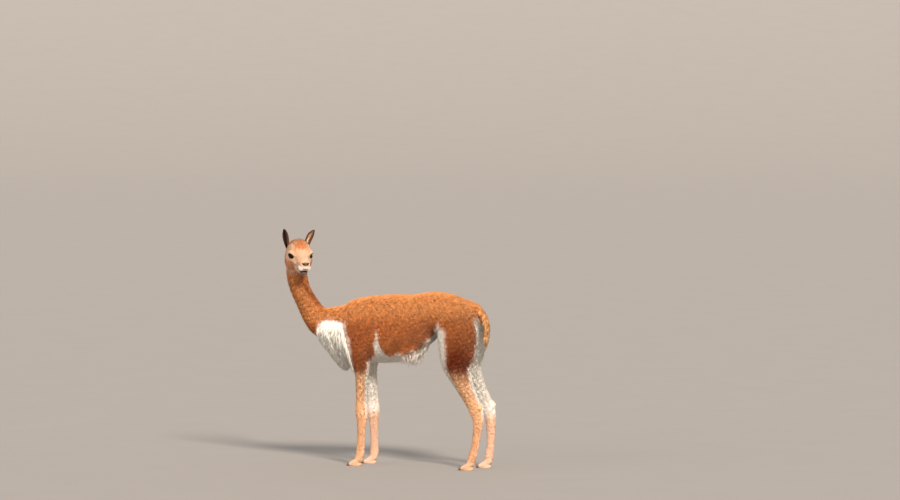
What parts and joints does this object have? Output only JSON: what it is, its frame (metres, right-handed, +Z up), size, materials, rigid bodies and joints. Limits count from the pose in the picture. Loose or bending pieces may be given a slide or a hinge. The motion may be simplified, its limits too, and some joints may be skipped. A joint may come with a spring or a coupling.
{
  "type": "vicuna figure",
  "caption": "Life-size standing vicuna with its head turned to the left, a long white chest bib, belly fringe and hanging tail.",
  "frame": {"origin": "on the floor, under the middle of the animal's bounding box", "axes": "the animal faces -X, its left side faces -Y, +Z is up; the soles are at Z = 0"},
  "size_m": [1.1249, 0.2879, 1.1792],
  "materials": {
    "fawn_coat": "matte cinnamon wool",
    "white_hair": "long silky cream-white hair",
    "ear_hair": "short dark brown hair",
    "nail": "dark horn, worn smooth",
    "eye": "wet, very dark brown"
  },
  "bodies": {
    "root": {"head": "fawn_coat", "neck": "fawn_coat", "chest": "white_hair", "torso": "fawn_coat", "tail": "fawn_coat", "ear_left": "ear_hair", "ear_right": "ear_hair", "eye_left": "eye", "eye_right": "eye", "fore_left_upper_leg": "fawn_coat", "fore_left_shank": "fawn_coat", "fore_left_foot": "fawn_coat", "fore_left_nail_left": "nail", "fore_left_nail_right": "nail", "fore_right_upper_leg": "fawn_coat", "fore_right_shank": "fawn_coat", "fore_right_foot": "fawn_coat", "fore_right_nail_left": "nail", "fore_right_nail_right": "nail", "hind_left_thigh": "fawn_coat", "hind_left_gaskin": "fawn_coat", "hind_left_shank": "fawn_coat", "hind_left_foot": "fawn_coat", "hind_left_nail_left": "nail", "hind_left_nail_right": "nail", "hind_right_thigh": "fawn_coat", "hind_right_gaskin": "fawn_coat", "hind_right_shank": "fawn_coat", "hind_right_foot": "fawn_coat", "hind_right_nail_left": "nail", "hind_right_nail_right": "nail"}
  },
  "joints": []
}
